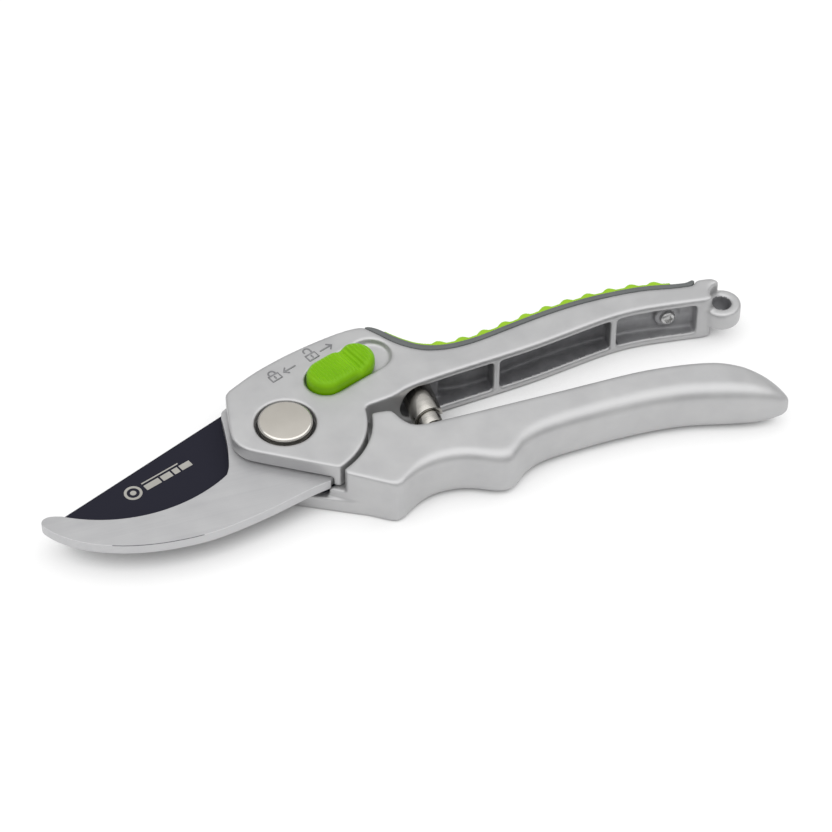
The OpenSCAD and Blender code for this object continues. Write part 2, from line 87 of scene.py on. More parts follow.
def cadShape(node):
    # the node's corners in millimetres from the pivot, welded, and its triangles
    mesh = frame["nodes"][node].data
    mesh.calc_loop_triangles()
    corners = np.empty(len(mesh.vertices) * 3)
    mesh.vertices.foreach_get("co", corners)
    triangles = np.empty(len(mesh.loop_triangles) * 3, np.int64)
    mesh.loop_triangles.foreach_get("vertices", triangles)
    corners = np.round((corners.reshape(-1, 3) - origin) / mm, 4)
    points, same = np.unique(corners, axis=0, return_inverse=True)
    triangles = same.ravel()[triangles].reshape(-1, 3)
    a, b, c = triangles.T
    return points, triangles[(a != b) & (b != c) & (c != a)]


def meshFrom(name, points, faces, smooth=True):
    mesh = bpy.data.meshes.new(name)
    mesh.from_pydata((np.asarray(points, float) * mm + origin).tolist(), [], faces)
    mesh.validate()
    if smooth:
        mesh.shade_smooth()
    return mesh


def addPiece(name, mesh, body, slotName, materials, *nodes):
    piece = bpy.data.objects.new(name, mesh)
    bpy.context.collection.objects.link(piece)
    for material in materials:
        mesh.materials.append(material)
    if body:
        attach(piece, body)
    if nodes:
        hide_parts(*nodes)
    return piece


# Solids with soft, cast edges.
soften = {"band": 4, "spreads": 3}    # voxels kept on each side of a surface, and how many spreads a blur reaches


def blur(values, spread):
    reach = int(soften["spreads"] * spread) + 1
    steps = np.arange(-reach, reach + 1)
    weights = np.exp(-0.5 * (steps / spread) ** 2)
    weights /= weights.sum()
    for axis in range(3):
        moved = np.zeros_like(values)
        for step, weight in zip(steps, weights):
            moved += np.float32(weight) * np.roll(values, step, axis)
        values = moved
    return values


def skinOf(field, start, voxel):
    # the surface where the field is zero, as points and faces
    grid = vdb.FloatGrid(float(field.max()))
    grid.copyFromArray(field.astype(np.float32), ijk=tuple(int(s) for s in start))
    grid.transform = vdb.createLinearTransform(voxelSize=voxel)
    points, triangles, quads = grid.convertToPolygons(isovalue=0.0, adaptivity=0.0)
    faces = [list(map(int, f)) for f in triangles] + [list(map(int, f)) for f in quads]
    points = np.asarray(points, float)
    volume = 0.0
    for group in (np.asarray(triangles, np.int64), np.asarray(quads, np.int64)):
        for k in range(1, group.shape[1] - 1 if len(group) else 0):
            a, b, c = points[group[:, 0]], points[group[:, k]], points[group[:, k + 1]]
            volume += float(np.einsum("ij,ij->i", a, np.cross(b, c)).sum())
    if volume < 0:
        faces = [f[::-1] for f in faces]
    return points, faces


def softSolid(node, voxel, soft, softer=None, where=None):
    # a CAD node with its edges rounded as a casting's or a moulding's are
    points, triangles = cadShape(node)
    band = soften["band"]
    grid = vdb.FloatGrid.createLevelSetFromPolygons(
        points, triangles=triangles, transform=vdb.createLinearTransform(voxelSize=voxel), halfWidth=band)
    margin = int(soften["spreads"] * (softer or soft) / voxel) + band
    start = np.floor(points.min(0) / voxel).astype(int) - margin
    size = np.ceil(points.max(0) / voxel).astype(int) + margin - start
    field = np.full(size, band * voxel, np.float32)
    grid.copyToArray(field, ijk=tuple(int(s) for s in start))
    filled = np.clip(0.5 - field / (2 * voxel), 0, 1)
    result = blur(filled, soft / voxel)
    if softer:
        axes = [(start[i] + np.arange(size[i])) * voxel for i in range(3)]
        share = where(*np.meshgrid(*axes, indexing="ij", sparse=True)).astype(np.float32)
        result += (blur(filled, softer / voxel) - result) * share
    return skinOf(0.5 - result, start, voxel)


def ramp(value, low, high):
    t = np.clip((value - low) / (high - low), 0, 1)
    return t * t * (3 - 2 * t)


# Plates, nuts and pins with a small chamfer; angles are in degrees.
plate = {"segments": 2, "cornerFrom": 30, "smoothTo": 28, "flatTo": 0.3, "weld": 0.001}


def chamferedCopy(node, width):
    points, triangles = cadShape(node)
    b = bmesh.new()
    corners = [b.verts.new(Vector(p)) for p in points]
    for face in triangles:
        try:
            b.faces.new([corners[i] for i in face])
        except ValueError:
            pass    # the same face twice
    bmesh.ops.remove_doubles(b, verts=b.verts, dist=plate["weld"])
    bmesh.ops.dissolve_limit(b, angle_limit=math.radians(plate["flatTo"]), verts=b.verts, edges=b.edges)
    corner = math.radians(plate["cornerFrom"])
    sharp = [e for e in b.edges if len(e.link_faces) == 2 and e.calc_face_angle(0) > corner]
    bmesh.ops.bevel(b, geom=sharp, offset=width, segments=plate["segments"], profile=0.5, affect="EDGES",
                    clamp_overlap=True)
    bmesh.ops.recalc_face_normals(b, faces=b.faces)
    mesh = bpy.data.meshes.new(node)
    b.to_mesh(mesh)
    b.free()
    flat = np.empty(len(mesh.vertices) * 3)
    mesh.vertices.foreach_get("co", flat)
    flat = flat.reshape(-1, 3) * mm + origin
    mesh.vertices.foreach_set("co", flat.ravel())
    mesh.shade_smooth()
    mesh.set_sharp_from_angle(angle=math.radians(plate["smoothTo"]))
    return mesh


# Turned parts.
lathe = {"onAxis": 1e-6, "smoothTo": 35}    # millimetres and degrees


def turned(name, profile, centre, steps, axis="z", shape=None):
    # a profile of (radius, height) turned about an axis; shape varies the radius round the turn
    points, index = [], []
    for k, (r, h) in enumerate(profile):
        if r < lathe["onAxis"]:
            index.append([len(points)] * steps)
            points.append((0, 0, h))
            continue
        index.append(list(range(len(points), len(points) + steps)))
        for i in range(steps):
            a = 2 * math.pi * i / steps
            scale = shape(k, a) if shape else 1
            points.append((r * scale * math.cos(a), r * scale * math.sin(a), h))
    faces = []
    for low, high in zip(index, index[1:]):
        for i in range(steps):
            j = (i + 1) % steps
            corner = [low[i], low[j], high[j], high[i]]
            face = [v for n, v in enumerate(corner) if v not in corner[:n]]
            if len(face) > 2:
                faces.append(face)
    points = np.array(points)
    if axis == "y":
        points = points[:, [0, 2, 1]] * [1, 1, -1]
    points = points + np.asarray(centre, float)
    mesh = meshFrom(name, points, faces)
    b = bmesh.new()
    b.from_mesh(mesh)
    bmesh.ops.recalc_face_normals(b, faces=b.faces)
    b.to_mesh(mesh)
    b.free()
    mesh.shade_smooth()
    mesh.set_sharp_from_angle(angle=math.radians(lathe["smoothTo"]))
    return mesh


# Effects that several finishes share, as node groups. Each stretch is in millimetres along X, Y and Z.
effects = {"even": (1, 1, 1), "lines": (14, 0.12, 0.12), "streaks": (40, 0.8, 0.8), "wearAndHighlightPatches": 0.9}
brushing = {"grain": 0.4, "mottle": 0.5, "streak": 0.5}    # how much of each goes into a ground surface


def newGroup(name, inputs, outputs):
    tree = bpy.data.node_groups.new(name, "ShaderNodeTree")
    for label, value in inputs:
        socket = tree.interface.new_socket(label, in_out="INPUT", socket_type="NodeSocketFloat")
        socket.default_value = value
    for label in outputs:
        tree.interface.new_socket(label, in_out="OUTPUT", socket_type="NodeSocketFloat")
    return tree, tree.nodes.new("NodeGroupInput"), tree.nodes.new("NodeGroupOutput")


def scaledCoordinates(tree, stretch):
    # object coordinates in millimetres, divided by the stretch along each axis
    source = tree.nodes.new("ShaderNodeTexCoord")
    mapping = tree.nodes.new("ShaderNodeMapping")
    mapping.inputs["Scale"].default_value = [1 / (mm * s) for s in stretch]
    tree.links.new(source.outputs["Object"], mapping.inputs["Vector"])
    return mapping.outputs["Vector"]


def noise(tree, vector, scale, detail, rough):
    node = tree.nodes.new("ShaderNodeTexNoise")
    node.inputs["Detail"].default_value = detail
    node.inputs["Roughness"].default_value = rough
    tree.links.new(vector, node.inputs["Vector"])
    if hasattr(scale, "is_output"):
        tree.links.new(scale, node.inputs["Scale"])
    else:
        node.inputs["Scale"].default_value = scale
    return node.outputs["Fac"]


def maths(tree, operation, a, b):
    node = tree.nodes.new("ShaderNodeMath")
    node.operation = operation
    for value, socket in zip((a, b), node.inputs):
        if hasattr(value, "is_output"):
            tree.links.new(value, socket)
        else:
            socket.default_value = value
    return node.outputs[0]


def makeGrain():
    # fine grain of a cast or moulded skin, and slow mottling of its tone
    tree, given, result = newGroup("surfaceGrain", [("Grain Scale", 6.0), ("Mottle Scale", 0.12)],
                                   ["Height", "Mottle"])
    where = scaledCoordinates(tree, effects["even"])
    fine = noise(tree, where, given.outputs["Grain Scale"], detail=3.0, rough=0.6)
    slow = noise(tree, where, given.outputs["Mottle Scale"], detail=3.0, rough=0.55)
    tree.links.new(fine, result.inputs["Height"])
    tree.links.new(slow, result.inputs["Mottle"])
    return tree


def makeWearAndHighlight():
    # worn edges and painted highlights on edges, broken up by noise
    tree, given, result = newGroup("edgeWearAndHighlight", [("Start", 0.52), ("Sharpness", 12.0), ("Breakup", 0.5)],
                                   ["Mask"])
    shape = tree.nodes.new("ShaderNodeNewGeometry")
    above = maths(tree, "SUBTRACT", shape.outputs["Pointiness"], given.outputs["Start"])
    edge = maths(tree, "MULTIPLY", above, given.outputs["Sharpness"])
    patch = noise(tree, scaledCoordinates(tree, effects["even"]), effects["wearAndHighlightPatches"], detail=3.0, rough=0.6)
    kept = maths(tree, "SUBTRACT", 1.0, maths(tree, "MULTIPLY", patch, given.outputs["Breakup"]))
    whole = tree.nodes.new("ShaderNodeClamp")
    tree.links.new(maths(tree, "MULTIPLY", edge, kept), whole.inputs["Value"])
    tree.links.new(whole.outputs[0], result.inputs["Mask"])
    return tree


def makeBrushed():
    # fine lines along X, as left by grinding
    tree, given, result = newGroup("groundLines", [("Line Scale", 1.0)], ["Height", "Streak"])
    scale = given.outputs["Line Scale"]
    lines = noise(tree, scaledCoordinates(tree, effects["lines"]), scale, detail=4.0, rough=0.6)
    streaks = noise(tree, scaledCoordinates(tree, effects["streaks"]), scale, detail=2.0, rough=0.5)
    tree.links.new(lines, result.inputs["Height"])
    tree.links.new(streaks, result.inputs["Streak"])
    return tree


grainGroup, wearAndHighlightGroup, brushedGroup = makeGrain(), makeWearAndHighlight(), makeBrushed()


def placed(tree, group, **values):
    node = tree.nodes.new("ShaderNodeGroup")
    node.node_tree = group
    for label, value in values.items():
        node.inputs[label.replace("_", " ")].default_value = value
    return node


def mixColour(tree, factor, a, b):
    node = tree.nodes.new("ShaderNodeMix")
    node.data_type = "RGBA"
    tree.links.new(factor, node.inputs[0])
    for value, socket in ((a, node.inputs[6]), (b, node.inputs[7])):
        if hasattr(value, "is_output"):
            tree.links.new(value, socket)
        else:
            socket.default_value = (*value, 1)
    return node.outputs[2]


def spreadOf(tree, value, low, high, fromLow=0.3, fromHigh=0.7):
    node = tree.nodes.new("ShaderNodeMapRange")
    node.inputs["From Min"].default_value = fromLow
    node.inputs["From Max"].default_value = fromHigh
    node.inputs["To Min"].default_value = low
    node.inputs["To Max"].default_value = high
    tree.links.new(value, node.inputs["Value"])
    return node.outputs[0]


def newMaterial(name, look):
    # roughness and the two tones follow the mottle; depth is the height of the bump in millimetres
    material = bpy.data.materials.new(name)
    material.use_nodes = True
    tree = material.node_tree
    shader = tree.nodes["Principled BSDF"]
    shader.inputs["Metallic"].default_value = look["metallic"]
    shader.inputs["Specular IOR Level"].default_value = look.get("specular", 0.5)
    grain = placed(tree, grainGroup, Grain_Scale=look["grain"], Mottle_Scale=look.get("mottle", 0.12))
    mottle, height = grain.outputs["Mottle"], grain.outputs["Height"]
    if look.get("lines"):
        brushed = placed(tree, brushedGroup, Line_Scale=look["lines"])
        height = maths(tree, "ADD", maths(tree, "MULTIPLY", height, brushing["grain"]), brushed.outputs["Height"])
        mottle = maths(tree, "ADD", maths(tree, "MULTIPLY", mottle, brushing["mottle"]),
                       maths(tree, "MULTIPLY", brushed.outputs["Streak"], brushing["streak"]))
    colour = mixColour(tree, spreadOf(tree, mottle, 0, 1), look["tones"][0], look["tones"][1])
    if "edge" in look:
        # the edge tone is partly wear and partly painted highlight
        wornOrLit = placed(tree, wearAndHighlightGroup, Start=look.get("wearOrHighlightStart", 0.52), Sharpness=look.get("wearOrHighlightSharpness", 10.0))
        colour = mixColour(tree, wornOrLit.outputs["Mask"], colour, look["edge"])
    tree.links.new(colour, shader.inputs["Base Color"])
    tree.links.new(spreadOf(tree, mottle, *look["roughness"]), shader.inputs["Roughness"])
    bump = tree.nodes.new("ShaderNodeBump")
    bump.inputs["Strength"].default_value = look["bump"]
    bump.inputs["Distance"].default_value = look["depth"] * mm
    tree.links.new(height, bump.inputs["Height"])
    tree.links.new(bump.outputs["Normal"], shader.inputs["Normal"])
    return material


# Finishes. Tones and edge are linear colours; edge is where a corner is worn, and a painted highlight where it
# catches light.
looks = {
    "castSkin": {"tones": [(0.485, 0.485, 0.49), (0.54, 0.54, 0.542)],
                 "metallic": 0.75, "roughness": (0.42, 0.50), "grain": 5.0, "bump": 0.25, "depth": 0.02},
    # painted shade: raised marks darker, as if their strokes were shaded grooves
    "castMarkShade": {"tones": [(0.24, 0.24, 0.25), (0.30, 0.30, 0.31)], "metallic": 0.6, "roughness": (0.45, 0.55),
                 "grain": 4.0, "bump": 0.3, "depth": 0.02},
    # painted shade: a dark tone for faces inside the channels and the eye's bore
    "castPaintedShade": {"tones": [(0.20, 0.20, 0.21), (0.27, 0.27, 0.28)], "edge": (0.42, 0.42, 0.43),
                   "wearOrHighlightStart": 0.51, "metallic": 0.6, "roughness": (0.55, 0.68), "grain": 2.2, "mottle": 0.3,
                   "bump": 0.6, "depth": 0.05},
    # lighter painted shade for the rear bay of the upper channel
    "castPaintedHalfShade": {"tones": [(0.31, 0.31, 0.32), (0.40, 0.40, 0.41)], "edge": (0.5, 0.5, 0.5), "wearOrHighlightStart": 0.51,
                "metallic": 0.6, "roughness": (0.5, 0.6), "grain": 2.2, "mottle": 0.3, "bump": 0.5, "depth": 0.05},
    "hookSteel": {"tones": [(0.49, 0.49, 0.50), (0.55, 0.55, 0.555)], "metallic": 0.9, "roughness": (0.30, 0.40),
                  "grain": 4.0, "lines": 1.0, "bump": 0.18, "depth": 0.01},
    # painted reflection: a dark tone on part of the hook's chamfer, as if it mirrored a darker surround
    "hookPaintedReflection": {"tones": [(0.13, 0.13, 0.14), (0.20, 0.20, 0.21)], "metallic": 0.7, "roughness": (0.45, 0.55),
                 "grain": 4.0, "bump": 0.2, "depth": 0.01},
    "bladeCoating": {"tones": [(0.003, 0.003, 0.006), (0.005, 0.005, 0.009)], "edge": (0.02, 0.02, 0.03),
                     "specular": 0.04, "metallic": 0.0, "roughness": (0.38, 0.5), "grain": 7.0, "bump": 0.15,
                     "depth": 0.01},
    "groundEdge": {"tones": [(0.55, 0.55, 0.55), (0.66, 0.66, 0.65)], "metallic": 1.0, "roughness": (0.2, 0.32),
                   "grain": 6.0, "lines": 1.4, "bump": 0.25, "depth": 0.01},
    "boltFace": {"tones": [(0.50, 0.475, 0.43), (0.54, 0.515, 0.47)], "metallic": 0.85, "roughness": (0.36, 0.42),
                 "grain": 10.0, "bump": 0.12, "depth": 0.01},
    "boltRim": {"tones": [(0.62, 0.60, 0.56), (0.66, 0.64, 0.60)], "metallic": 1.0, "roughness": (0.10, 0.16),
                "grain": 8.0, "bump": 0.05, "depth": 0.01},
    "zincSteel": {"tones": [(0.50, 0.50, 0.50), (0.60, 0.60, 0.59)], "edge": (0.7, 0.7, 0.7), "metallic": 0.95,
                  "roughness": (0.28, 0.42), "grain": 8.0, "bump": 0.2, "depth": 0.01},
    "bronze": {"tones": [(0.42, 0.26, 0.11), (0.52, 0.34, 0.16)], "metallic": 0.95, "roughness": (0.35, 0.5),
               "grain": 9.0, "bump": 0.25, "depth": 0.01},
    # painted shade: near black for the washer under the bolt head, a dark ring standing for the shaded gap round the
    # head
    "paintedShadeBlack": {"tones": [(0.012, 0.012, 0.012), (0.02, 0.02, 0.02)], "metallic": 0.0, "roughness": (0.4, 0.5),
               "grain": 8.0, "bump": 0.1, "depth": 0.01},
    "limePlastic": {"tones": [(0.175, 0.425, 0.0), (0.21, 0.475, 0.002)], "specular": 0.2,
                    "metallic": 0.0, "roughness": (0.38, 0.46), "grain": 7.0, "bump": 0.12, "depth": 0.01},
    "springStrip": {"tones": [(0.46, 0.445, 0.415), (0.54, 0.525, 0.49)], "metallic": 1.0, "roughness": (0.16, 0.26),
                    "grain": 5.0, "lines": 0.8, "bump": 0.15, "depth": 0.01},
    "gripPlastic": {"tones": [(0.10, 0.108, 0.108), (0.128, 0.136, 0.136)], "edge": (0.19, 0.2, 0.2),
                    "metallic": 0.0, "roughness": (0.5, 0.6), "grain": 3.5, "bump": 0.5, "depth": 0.05},
    "limeRubber": {"tones": [(0.27, 0.50, 0.012), (0.32, 0.56, 0.02)], "edge": (0.36, 0.62, 0.05),
                   "wearOrHighlightSharpness": 4.0, "specular": 0.3, "metallic": 0.0, "roughness": (0.5, 0.62), "grain": 4.0,
                   "bump": 0.4, "depth": 0.04},
    "etchedMark": {"tones": [(0.34, 0.33, 0.30), (0.42, 0.41, 0.38)], "metallic": 0.2, "roughness": (0.5, 0.6),
                   "grain": 9.0, "bump": 0.3, "depth": 0.01},
}
materials = {name: newMaterial(name, look) for name, look in looks.items()}
print("materials", len(materials))


# Both castings.
casting = {"voxel": 0.36, "edge": 0.30, "handleEdge": 0.50, "lowerEdge": 0.62, "softerFrom": 20, "softerTo": 36}
channel = {"from": 33.5, "to": 123.3, "wall": 2.3, "slack": 0.3, "mouth": 0.8, "column": 0.5, "facing": -0.3,
           "paleFrom": 101.0}
eye = {"centre": (131.2, 11.3), "bore": 2.95, "upright": 0.6}


def handleShare(x, y, z):
    # the head keeps crisper edges than the handle behind it
    return ramp(x, casting["softerFrom"], casting["softerTo"]) + 0 * y + 0 * z


def paintChannelShade(mesh, openSide):
    # faces inside a channel get painted shade, a darker tone on a rougher skin that stands for the shadow in it; the
    # rear bay gets a paler painted shade and the eye's bore the darker one; openSide is -1 or 1, the way along Y
    # that it opens
    count = len(mesh.polygons)
    middles, normals = np.empty(count * 3), np.empty(count * 3)
    mesh.polygons.foreach_get("center", middles)
    mesh.polygons.foreach_get("normal", normals)
    middles = (middles.reshape(-1, 3) - origin) / mm
    normals = normals.reshape(-1, 3)
    x, y, z = middles.T
    inside = (x > channel["from"]) & (x < channel["to"]) & (normals[:, 1] * openSide > channel["facing"])
    inside &= (z > channel["wall"] - channel["slack"]) & (z < thickness - channel["wall"] + channel["slack"])
    column = ((x - channel["from"]) / channel["column"]).astype(int)
    for c in np.unique(column[inside]):
        here = column == c
        mouth = (y[here] * openSide).max()
        inside[here] &= mouth - y[here] * openSide > channel["mouth"]
    index = inside.astype(np.int32)
    # the rear bay gets the lighter painted shade
    index[inside & (x > channel["paleFrom"])] = 2
    # the eye's bore gets painted shade too
    fromEye = np.hypot(x - eye["centre"][0], y - eye["centre"][1])
    index[(fromEye < eye["bore"]) & (np.abs(normals[:, 2]) < eye["upright"])] = 1
    mesh.polygons.foreach_set("material_index", index)


for node, body, edge, openSide in (("upper_handle", "upper", casting["handleEdge"], -1),
                                   ("lower_handle", "lower", casting["lowerEdge"], 1)):
    points, faces = softSolid(node, casting["voxel"], casting["edge"], edge, handleShare)
    name = body + "_casting"
    castPiece = addPiece(name, meshFrom(name, points, faces), body, "cast_aluminium",
                         [materials["castSkin"], materials["castPaintedShade"],
                          materials["castPaintedHalfShade"] if body == "upper" else materials["castPaintedShade"]], node)
    paintChannelShade(castPiece.data, openSide)
    print(name, len(points))


# Both jaws.
jaw = {"hookChamfer": 0.3, "cutterChamfer": 0.12, "bevel": (-0.995, -0.5), "paintedReflection": (-55.6, -30.5),
       "paintedReflectionSlope": (0.2, 0.97), "paintedReflectionSide": -0.1}


def evenNormals(piece):
    # flat faces stay flat right up to their chamfers
    even = piece.modifiers.new("evenNormals", "WEIGHTED_NORMAL")
    even.keep_sharp = True
    even.weight = 100
    return piece


def between(value, limits):
    return limits[0] < value < limits[1]


hook = addPiece("hook", chamferedCopy("counter_blade", jaw["hookChamfer"]), "upper", "hook_steel",
                [materials["hookSteel"], materials["hookPaintedReflection"]], "counter_blade")
for face in hook.data.polygons:
    # a dark reflection is painted along the middle of the upper outer chamfer
    along = (face.center.x - pivot.x) / mm
    if (between(face.normal.z, jaw["paintedReflectionSlope"]) and face.normal.y < jaw["paintedReflectionSide"]
            and between(along, jaw["paintedReflection"])):
        face.material_index = 1
evenNormals(hook)
cutter = addPiece("cutter", chamferedCopy("cutting_blade", jaw["cutterChamfer"]), "lower", "coated_steel",
                  [materials["bladeCoating"], materials["groundEdge"]], "cutting_blade")
for face in cutter.data.polygons:
    if between(face.normal.z, jaw["bevel"]):
        face.material_index = 1
evenNormals(cutter)
print("jaws")


# The pivot and the small fasteners.
bolt = {"head": 7.5, "edge": 0.8, "dome": 0.12, "shank": 4.0, "tip": 0.6, "tipChamfer": 0.3, "rimFrom": 6.8,
        "domeSteps": 4, "edgeStep": 10, "steps": 128}


def boltProfile():
    # a low domed face, a round edge, the seat on the washer and the shank with its chamfer
    top, seat, count = topOf("pivot_bolt"), topOf("pivot_wear_washer"), bolt["domeSteps"]
    line = [(bolt["rimFrom"] * k / count, top - bolt["dome"] * (k / count) ** 2) for k in range(count)]
    for degrees in range(0, 91, bolt["edgeStep"]):
        a = math.radians(degrees)
        line.append((bolt["head"] - bolt["edge"] * (1 - math.sin(a)),
                     top - bolt["dome"] - bolt["edge"] * (1 - math.cos(a))))
    shank, tip, small = bolt["shank"], bolt["tip"], bolt["tipChamfer"]
    return line + [(bolt["head"], seat), (shank, seat), (shank, tip + small), (shank - small, tip), (0, tip)]


boltMesh = turned("pivot_bolt_turned", boltProfile(), (0, 0, 0), bolt["steps"])
boltPiece = addPiece("pivot_bolt_turned", boltMesh, "upper", "bolt_steel",
                     [materials["boltFace"], materials["boltRim"]], "pivot_bolt")
for face in boltPiece.data.polygons:
    centre = face.center - pivot
    if Vector((centre.x, centre.y)).length > bolt["rimFrom"] * mm:
        face.material_index = 1

chamfers = {"pivot_nut": 0.3, "pivot_washer": 0.1, "lock_slider": 0.15, "lock_pin": 0.2, "pivot_wear_washer": 0.08,
            "pivot_bushing": 0.15, "counter_blade_screws": 0.1, "cutting_blade_screws": 0.1, "lock_screw": 0.12,
            "lock_detent_spring": 0.05}
# the black washer's tone is painted shade for the gap round the bolt head
otherFinishes = {"washer_black": "paintedShadeBlack", "bushing_bronze": "bronze", "spring_steel": "springStrip"}
for node, width in chamfers.items():
    slotName = next(s["material_slot"] for s in frame["record"]["subparts"] if s["node"] == node)
    look = otherFinishes.get(slotName, "zincSteel")
    body = next(b for b, nodes in frame["record"]["behaviour"]["bodies"].items() if node in nodes)
    addPiece(node + "_finished", chamferedCopy(node, width), body, slotName, [materials[look]], node)
print("pivot and fasteners")


# The grip on the upper handle: hard back, soft ridges and the screw.
grip = {"voxel": 0.3, "edge": 0.32, "padEdge": 0.2, "crown": 0.12, "crownPower": 4, "crownOver": 1.0, "padFrom": 0.5}

points, faces = softSolid("grip_carrier", grip["voxel"], grip["edge"])
addPiece("grip_back", meshFrom("grip_back", points, faces), "upper", "grip_grey", [materials["gripPlastic"]],
         "grip_carrier")


def crownedPad():
    # across the hand the pad is highest in the middle and falls to its edges
    points, faces = softSolid("grip_pad", grip["voxel"], grip["padEdge"])
    corners, _ = cadShape("grip_pad")
    rows = {}
    for x, y, _ in corners:
        low, high = rows.get(round(x, 2), (y, y))
        rows[round(x, 2)] = min(low, y), max(high, y)
    xs = sorted(x for x in rows if rows[x][1] - rows[x][0] > grip["padFrom"])
    base = np.interp(points[:, 0], xs, [rows[x][0] for x in xs])
    half = (topOf("grip_pad") - lowOf("grip_pad")) / 2
    across = np.clip(np.abs(points[:, 2] - middleZ) / half, 0, 1)
    share = np.clip((points[:, 1] - base) / grip["crownOver"], 0, 1)
    points[:, 1] -= grip["crown"] * across ** grip["crownPower"] * share
    return meshFrom("grip_ridges", points, faces)


addPiece("grip_ridges", crownedPad(), "upper", "grip_green", [materials["limeRubber"]], "grip_pad")


# the head's profile is in shares of its radius and millimetres of depth
screw = {"head": 2.2, "pan": [(0.72, 0.08), (0.92, 0.35), (1, 0.75), (1, 1.3)], "socket": 1.15, "socketDepth": 0.7,
         "socketFloor": 0.9, "socketLip": (0.12, 0.05), "lobe": 0.12, "lobes": 6, "shank": 1.25, "point": 0.7,
         "pointLength": 0.5, "steps": 72}


def gripScrew():
    # a pan head with a six-lobed socket, facing the open side of the channel
    face = (Vector(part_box("grip_screw")[0]).y - pivot.y) / mm
    tip = (Vector(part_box("grip_screw")[1]).y - pivot.y) / mm
    centre = middleOf("grip_screw")
    length = tip - face
    socket = [(0, screw["socketDepth"]), (screw["socket"] * screw["socketFloor"], screw["socketDepth"]),
              (screw["socket"], screw["socketLip"][1]), (screw["socket"] + screw["socketLip"][0], 0)]
    head = [(screw["head"] * share, depth) for share, depth in screw["pan"]]
    shank = [(screw["shank"], head[-1][1]), (screw["shank"], length - screw["pointLength"]),
             (screw["point"], length), (0, length)]

    def lobed(k, angle):
        return 1 + (screw["lobe"] * math.cos(screw["lobes"] * angle) if k < len(socket) else 0)

    return turned("grip_screw_turned", socket + head + shank,
                  ((centre.x - pivot.x) / mm, face, centre.z / mm), screw["steps"], "y", lobed)


addPiece("grip_screw_turned", gripScrew(), "upper", "fastener_steel", [materials["zincSteel"]], "grip_screw")
print("grip")


# The spring between the handles.
spring = {"strip": 0.8, "width": 11.5, "turns": 3, "inner": 1.9, "corner": 0.22, "steps": 48,
          "cornerAngles": (0, 30, 60, 90), "smoothTo": 50}


def voluteSpring():
    # a strip with round edges, wound in a cone whose turns slide into each other
    low, high = (np.array(c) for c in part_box("volute_spring"))
    centre = ((low + high) / 2 - origin) / mm
    outer = (high[0] - low[0]) / mm / 2
    start = (high[1] - pivot.y) / mm - spring["width"]
    drop = (high[1] - low[1]) / mm - spring["width"]
    c, w = spring["corner"], spring["width"]
    section = []
    inside = c - spring["strip"]
    for r0, y0, a0 in ((-c, w - c, 0), (inside, w - c, 90), (inside, c, 180), (-c, c, 270)):
        for a in spring["cornerAngles"]:
            angle = math.radians(a0 + a)
            section.append((r0 + c * math.cos(angle), y0 + c * math.sin(angle)))
    points, faces = [], []
    count, n = spring["turns"] * spring["steps"], len(section)
    for i in range(count + 1):
        t = i / count
        angle = 2 * math.pi * spring["turns"] * t
        radius = outer + (spring["inner"] - outer) * t
        for r, y in section:
            points.append((centre[0] + (radius + r) * math.cos(angle), start - drop * t + y,
                           centre[2] + (radius + r) * math.sin(angle)))
    for i in range(count):
        for j in range(n):
            k = (j + 1) % n
            faces.append([i * n + j, (i + 1) * n + j, (i + 1) * n + k, i * n + k])
    faces += [list(range(n)), [count * n + j for j in range(n)][::-1]]
    mesh = meshFrom("spring_strip", points, faces)
    mesh.set_sharp_from_angle(angle=math.radians(spring["smoothTo"]))
    return mesh


springPiece = addPiece("spring_strip", voluteSpring(), None, "spring_steel", [materials["springStrip"]],
                       "volute_spring")
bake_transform(springPiece)
print("spring")


# The thumb lock.
button = {"voxel": 0.15, "radius": 5.5, "front": 0.2, "rear": 10.2, "edge": 2.0, "below": 1.75, "stem": 2.4,
          "dip": 1.25, "dipAt": 8.6, "dipWidth": 1.7, "heel": 1.5, "heelFrom": 11.0, "heelLength": 3,
          "ridge": 0.2, "pitch": 1.15, "ridgeFade": (-1.7, -0.5), "ridgeRoom": 0.1, "draft": 0.05, "draftOver": 4,
          "low": (-6.5, -7), "high": (17.5, 7), "margin": 1}
lockFront = ((middleOf("lock_pin") - pivot) / mm).to_2d()
lockDirection = ((middleOf("lock_screw") - pivot) / mm).to_2d() - lockFront
stemAt = lockDirection.length
lockDirection.normalize()


def alongLock(points):
    # from distance along and across the lock's line to the part's own directions
    s, t = points[:, 0], points[:, 1]
    c, d = lockDirection
    return np.stack([lockFront.x + s * c - t * d, lockFront.y + s * d + t * c, points[:, 2]], 1)


